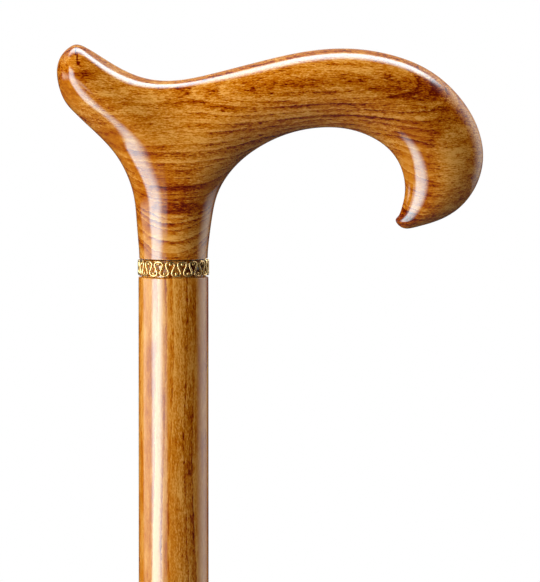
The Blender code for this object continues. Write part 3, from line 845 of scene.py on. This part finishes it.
def rubber_material():
    """Matt black rubber, dusty in the hollows and greyer where the tread wears."""
    material, tree, shader = new_material("Black rubber")
    place = put(tree, "TexCoord").outputs["Object"]
    height = put(tree, "SeparateXYZ", {0: place}).outputs[2]
    dust = noise(tree, place, 260.0, 5.0, 0.6)
    low = remap(tree, height, 9.0 * MM, 0.5 * MM)
    worn = maths(tree, "MULTIPLY_ADD", low, 0.6, 0.25)
    mask = times(tree, remap(tree, dust, 0.40, 0.75), worn)
    colour = blend(tree, mask, (0.016, 0.016, 0.017, 1.0), (0.085, 0.078, 0.07, 1.0))
    fill(shader, {"Base Color": colour, "Roughness": remap(tree, dust, 0.3, 0.7, 0.5, 0.72),
                  "Normal": relief(tree, noise(tree, place, 2600.0), 0.25)})
    return material


# Operators

class CANE_OT_groups(bpy.types.Operator):
    """Build the node groups that the materials share"""
    bl_idname = "cane.groups"
    bl_label = "Build node groups"

    def execute(self, context):
        beech_group()
        mark_group()
        return {"FINISHED"}


class CANE_OT_handle(bpy.types.Operator):
    """Carve the grip and its neck from one piece of beech"""
    bl_idname = "cane.handle"
    bl_label = "Carve handle"

    def execute(self, context):
        sizes = context.scene.cane_handle
        if sizes.end_rounding + STUD_RADIUS + SEAT >= SHAFT_RADIUS:
            raise ValueError("The rounding leaves no end face round the bore")
        cage = handle_cage(sizes.grip_width)
        bmesh.ops.translate(cage, verts=cage.verts, vec=(0.0, 0.0, JOINT_HEIGHT))
        bm = subdivided(cage, sizes.fineness)
        face_end(bm, JOINT_HEIGHT, sizes.end_rounding)
        material = wood_material("Handle beech", context.scene.cane_finish, {"Location": -PITH},
                                 {}, HANDLE_MARKS, HANDLE_CALM, HANDLE_SMOOTH)
        add_piece("carved_handle", bm, material, "stick", "handle")
        return {"FINISHED"}


class CANE_OT_collar(bpy.types.Operator):
    """Bend the gilt wire into a ring of loops, with a pearl inside each crown"""
    bl_idname = "cane.collar"
    bl_label = "Bend collar"

    def execute(self, context):
        sizes = context.scene.cane_collar
        radius = SHAFT_RADIUS + COLLAR_PROUD - sizes.wire_depth / 2
        pitch = 2 * pi * radius / sizes.loops
        if pitch < 2 * (sizes.wire_width + sizes.loop_gap):
            raise ValueError("So many loops of this wire don't fit round the ring")
        swing = loop_swing(pitch, sizes.wire_width + sizes.loop_gap) / pitch
        rise = (sizes.height - 2 * SEAT - sizes.wire_width) / 2
        shape = (radius, sizes.loops, swing, rise)
        bm = bmesh.new()
        verts = bmesh.ops.create_circle(bm, segments=WIRE_SIDES, radius=0.5)["verts"]
        bmesh.ops.scale(bm, verts=verts, vec=(sizes.wire_width, sizes.wire_depth, 1.0))
        stand = wire_frame(0.0, *shape)
        bmesh.ops.transform(bm, matrix=stand, verts=verts)
        edges = list(bm.edges)
        for step in range(1, LOOP_STEPS + 1):
            grown = bmesh.ops.extrude_edge_only(bm, edges=edges)["geom"]
            verts = of_kind(grown, bmesh.types.BMVert)
            ring = set(verts)
            edges = [edge for edge in of_kind(grown, bmesh.types.BMEdge) if set(edge.verts) <= ring]
            new_stand = wire_frame(step / LOOP_STEPS, *shape)
            bmesh.ops.transform(bm, matrix=new_stand @ stand.inverted(), verts=verts)
            stand = new_stand
        turn = 2 * pi / sizes.loops
        bmesh.ops.spin(bm, geom=[*bm.verts, *bm.edges, *bm.faces], cent=(0, 0, 0),
                       axis=(0, 0, 1), angle=turn * (sizes.loops - 1), steps=sizes.loops - 1,
                       use_duplicate=True)
        bmesh.ops.remove_doubles(bm, verts=bm.verts, dist=0.01 * MM)
        bmesh.ops.recalc_face_normals(bm, faces=bm.faces)
        pearls = bmesh.new()
        pearl_rise = rise - sizes.wire_width / 2 - sizes.pearl / 2 + PEARL_SINK
        for half_turn in range(2 * sizes.loops):
            place = Matrix.Translation(wire_point(half_turn / 2, *shape[:3], pearl_rise))
            bmesh.ops.create_uvsphere(pearls, u_segments=PEARL_SIDES, v_segments=PEARL_RINGS,
                                      radius=sizes.pearl / 2, matrix=place)
        bm = combined(bm, pearls, "UNION")
        middle = JOINT_HEIGHT - sizes.height / 2
        bmesh.ops.translate(bm, verts=bm.verts, vec=(0.0, 0.0, middle))
        material = metal_material("Gilt brass", context.scene.cane_finish.brass, 0.13, 700.0, 1.0)
        add_piece("wire_collar", bm, material, "stick", "collar", 50.0)
        return {"FINISHED"}


class CANE_OT_shaft(bpy.types.Operator):
    """Turn the tapered shaft with its shoulder, spigot and bore"""
    bl_idname = "cane.shaft"
    bl_label = "Turn shaft"

    def execute(self, context):
        collar = context.scene.cane_collar
        joint = JOINT_HEIGHT - FOOT_HEIGHT
        shoulder = joint - collar.height
        spigot = SHAFT_RADIUS + COLLAR_PROUD - collar.wire_depth - SEAT
        bore = STUD_RADIUS + SEAT
        if spigot - bore < SPIGOT_ROUNDING:
            raise ValueError("The collar's wire leaves no spigot round the bore")
        floor = joint - STUD_HALF - SEAT
        points = rounded([
            (0.0, 0.0, 0),
            (FOOT_RADIUS - FOOT_CHAMFER, 0.0, 0),
            (FOOT_RADIUS, FOOT_CHAMFER, 0),
            (FOOT_RADIUS, FOOT_LENGTH, 0),
            (SHAFT_RADIUS, shoulder - STRAIGHT_HEAD, 0),
            (SHAFT_RADIUS, shoulder, SPIGOT_ROUNDING),
            (spigot, shoulder, SPIGOT_ROUNDING),
            (spigot, joint - SEAT, SPIGOT_ROUNDING),
            (bore, joint - SEAT, 0),
            (bore, floor, 0),
            (0.0, floor - bore * 0.6, 0),
        ])
        bm = turned(points, SHAFT_SIDES, FOOT_HEIGHT)
        material = wood_material("Shaft beech", context.scene.cane_finish, SHAFT_GRAIN,
                                 SHAFT_BEECH, SHAFT_MARKS, (), SHAFT_SMOOTH)
        add_piece("turned_shaft", bm, material, "stick", "shaft")
        return {"FINISHED"}


class CANE_OT_ferrule(bpy.types.Operator):
    """Mould the ribbed and notched rubber ferrule"""
    bl_idname = "cane.ferrule"
    bl_label = "Mould ferrule"

    def execute(self, context):
        sizes = context.scene.cane_ferrule
        socket = FOOT_RADIUS + SEAT
        sleeve = socket + SLEEVE_WALL
        base = sizes.base / 2
        cuff = sizes.height - CUFF_LENGTH
        if base <= sleeve or cuff <= RIB_START + RIBS * RIB_PITCH:
            raise ValueError("The ferrule is too small for its flare and its ribs")
        corners = [(0.0, 0.0, 0)]
        inner = GROOVE_START
        while inner + GROOVE_PITCH < base:
            outer = inner + GROOVE_WIDTH
            corners += [(inner, 0.0, 0.2 * MM), (inner, GROOVE_DEPTH, 0.3 * MM),
                        (outer, GROOVE_DEPTH, 0.3 * MM), (outer, 0.0, 0.2 * MM)]
            inner += GROOVE_PITCH
        corners += [(base, 0.0, 0.8 * MM), (base, TREAD_RIM, 1.5 * MM),
                    (sleeve, SKIRT_TOP, 4.0 * MM), (sleeve, SLEEVE_START, 0)]
        proud = sleeve + RIB_PROUD
        for rib in range(RIBS):
            low = RIB_START + rib * RIB_PITCH
            high = low + 2 * RIB_PROUD + RIB_FLAT
            corners += [(sleeve, low, 0.3 * MM), (proud, low + RIB_PROUD, 0.3 * MM),
                        (proud, high - RIB_PROUD, 0.3 * MM), (sleeve, high, 0.3 * MM)]
        lip = sleeve + CUFF_PROUD
        corners += [(sleeve, cuff, 0.5 * MM), (lip, cuff, 0.6 * MM),
                    (lip, sizes.height, 1.4 * MM), (socket, sizes.height, 0.8 * MM),
                    (socket, SOLE, 0), (0.0, SOLE, 0)]
        bm = turned(rounded(corners), FERRULE_SIDES, 0.0)
        tool = bmesh.new()
        length = NOTCH_REACH + SLEEVE_WALL
        place = Matrix.Translation((base - NOTCH_REACH + length / 2, 0.0, 0.0))
        size = Matrix.Diagonal((length, NOTCH_WIDTH, 2 * GROOVE_DEPTH, 1.0))
        for index in range(sizes.notches):
            turn = Matrix.Rotation(2 * pi * (index + 0.5) / sizes.notches, 4, "Z")
            bmesh.ops.create_cube(tool, size=1.0, matrix=turn @ place @ size)
        bm = combined(bm, tool, "DIFFERENCE")
        add_piece("moulded_ferrule", bm, rubber_material(), "tip", "ferrule")
        return {"FINISHED"}


class CANE_OT_hardware(bpy.types.Operator):
    """Give the stud and the ferrule's washer their steel"""
    bl_idname = "cane.hardware"
    bl_label = "Finish hardware"

    def execute(self, context):
        steel = metal_material("Zinc-plated steel", (0.6, 0.6, 0.62), 0.28, 300.0)
        for node in ("joint_stud", "ferrule_washer"):
            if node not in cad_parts:
                raise RuntimeError("The frame holds no " + node)
            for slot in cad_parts[node].material_slots:
                slot.material = steel
        return {"FINISHED"}


class CANE_OT_stage(bpy.types.Operator):
    """Set the pale floor, the lamps and the camera"""
    bl_idname = "cane.stage"
    bl_label = "Set stage"

    def execute(self, context):
        scene = context.scene
        scene.view_settings.view_transform = "Standard"
        set_world(scene)
        add_floor()
        for lamp in LAMPS:
            add_lamp(*lamp)
        add_camera(scene)
        return {"FINISHED"}


def face_target(obj, bearing, elevation, distance):
    """Stand an object off the handle at a bearing from the front, and turn it to the handle."""
    away = Vector((sin(bearing) * cos(elevation), -cos(bearing) * cos(elevation), sin(elevation)))
    obj.location = TARGET + away * distance
    obj.rotation_euler = away.to_track_quat("Z", "Y").to_euler()


def add_lamp(name, bearing, elevation, distance, width, height, radiance, fades, masked, colour):
    """A softbox that faces the handle and fades towards its sides."""
    data = bpy.data.lights.new(name, "AREA")
    data.shape = "RECTANGLE"
    data.size, data.size_y = width, height
    data.energy = radiance * pi * width * height
    data.color = colour
    data.use_nodes = True
    tree = data.node_tree
    across, up, _ = put(tree, "SeparateXYZ",
                        {0: put(tree, "NewGeometry").outputs["Parametric"]}).outputs
    inward = maths(tree, "SUBTRACT", across, remap(tree, up, 0.45, 0.12, 0.0, masked))
    edges = (inward, maths(tree, "SUBTRACT", 1.0, across), up, maths(tree, "SUBTRACT", 1.0, up))
    faded = (remap(tree, edge, 0.0, fade) for edge, fade in zip(edges, fades))
    fill(tree.nodes["Emission"], {"Strength": times(tree, *faded)})
    lamp = new_object(name, data)
    face_target(lamp, radians(bearing), radians(elevation), distance)
    lamp.visible_camera = False


def set_world(scene):
    """White for the camera, a soft ceiling over a dim room, and a white backdrop in reflections."""
    world = bpy.data.worlds.new("Studio")
    world.use_nodes = True
    scene.world = world
    tree = world.node_tree
    ray = put(tree, "LightPath").outputs
    _, behind, above = put(tree, "SeparateXYZ",
                           {0: put(tree, "TexCoord").outputs["Generated"]}).outputs
    room = maths(tree, "ADD", remap(tree, above, 0.0, 0.8, 0.05, 0.50),
                 remap(tree, behind, 0.2, -1.0, 0.0, 0.38))
    ceiling = times(tree, remap(tree, above, 0.2, 0.6, 0.0, 0.38), remap(tree, behind, 0.0, 0.5))
    mirror = maths(tree, "MAXIMUM", remap(tree, behind, 0.90, 0.96, 0.004, 1.0), ceiling)
    reflected = maths(tree, "MAXIMUM", ray["Is Glossy Ray"], ray["Is Transmission Ray"])
    strength = put(tree, "Mix", {0: reflected, 2: room, 3: mirror}).outputs[0]
    strength = put(tree, "Mix", {0: ray["Is Camera Ray"], 2: strength, 3: 1.0}).outputs[0]
    fill(tree.nodes["Background"], {"Color": (1.0, 1.0, 1.0, 1.0), "Strength": strength})


def add_floor():
    """A pale floor that keeps the cane's shadow and runs out into white."""
    bm = bmesh.new()
    bmesh.ops.create_circle(bm, cap_ends=True, segments=96, radius=FLOOR_RADIUS)
    floor = mesh_object("floor", bm)
    material, tree, shader = new_material("Pale floor")
    rays = put(tree, "LightPath").outputs
    place = put(tree, "TexCoord").outputs["Object"]
    distance = put(tree, "VectorMath", {0: place}, operation="LENGTH").outputs["Value"]
    mirrored = times(tree, remap(tree, distance, 4.0, 2.0), rays["Is Glossy Ray"])
    shade = blend(tree, mirrored, (0.05, 0.05, 0.05, 1.0), (0.09, 0.085, 0.08, 1.0))
    shade = blend(tree, rays["Is Camera Ray"], shade, (0.85, 0.85, 0.85, 1.0))
    fill(shader, {"Base Color": shade, "Roughness": 0.8, "Specular IOR Level": 0.0})
    factor = times(tree, remap(tree, distance, 0.15, 1.6, 0.55, 1.0), rays["Is Camera Ray"])
    white = put(tree, "Emission", {"Strength": 1.0})
    mixed = put(tree, "MixShader", {0: factor, 1: shader.outputs[0], 2: white.outputs[0]})
    output = next(node for node in tree.nodes if node.type == "OUTPUT_MATERIAL")
    fill(output, {"Surface": mixed.outputs[0]})
    floor.data.materials.append(material)


def add_camera(scene):
    """The camera at the photograph's height, so far back that the picture is 0.3 mm a pixel."""
    sizes = scene.cane_stage
    if sizes.distance <= HOOK_REACH:
        raise ValueError("The camera stands inside the cane")
    data = bpy.data.cameras.new("camera")
    data.sensor_width = SENSOR
    data.lens = SENSOR * sizes.distance / (PIXEL * FRAME_HEIGHT)
    data.clip_start, data.clip_end = 0.05, 200.0
    camera = new_object("camera", data)
    face_target(camera, 0.0, sizes.elevation, sizes.distance)
    scene.camera = camera


class CANE_PT_pieces(bpy.types.Panel):
    """Lists the steps of making the cane"""
    bl_idname = "CANE_PT_pieces"
    bl_label = "Derby cane"
    bl_space_type = "VIEW_3D"
    bl_region_type = "UI"
    bl_category = "Cane"

    def draw(self, context):
        for name in STEPS:
            self.layout.operator("cane." + name)
        for key, group in SETTINGS.items():
            box = self.layout.box()
            box.label(text=group.__doc__)
            for name in group.__annotations__:
                box.prop(getattr(context.scene, key), name)


STEPS = ("groups", "handle", "collar", "shaft", "ferrule", "hardware", "stage")
SETTINGS = {"cane_handle": CaneHandle, "cane_collar": CaneCollar, "cane_ferrule": CaneFerrule,
            "cane_finish": CaneFinish, "cane_stage": CaneStage}
CLASSES = (*SETTINGS.values(), CANE_OT_groups, CANE_OT_handle, CANE_OT_collar, CANE_OT_shaft,
           CANE_OT_ferrule, CANE_OT_hardware, CANE_OT_stage, CANE_PT_pieces)


def register():
    for entry in CLASSES:
        bpy.utils.register_class(entry)
    for name, group in SETTINGS.items():
        setattr(bpy.types.Scene, name, PointerProperty(type=group))


def unregister():
    for name in SETTINGS:
        delattr(bpy.types.Scene, name)
    for entry in reversed(CLASSES):
        bpy.utils.unregister_class(entry)


def main():
    """Build the whole cane."""
    register()
    for name in STEPS:
        getattr(bpy.ops.cane, name)()


if __name__ == "__main__":
    main()
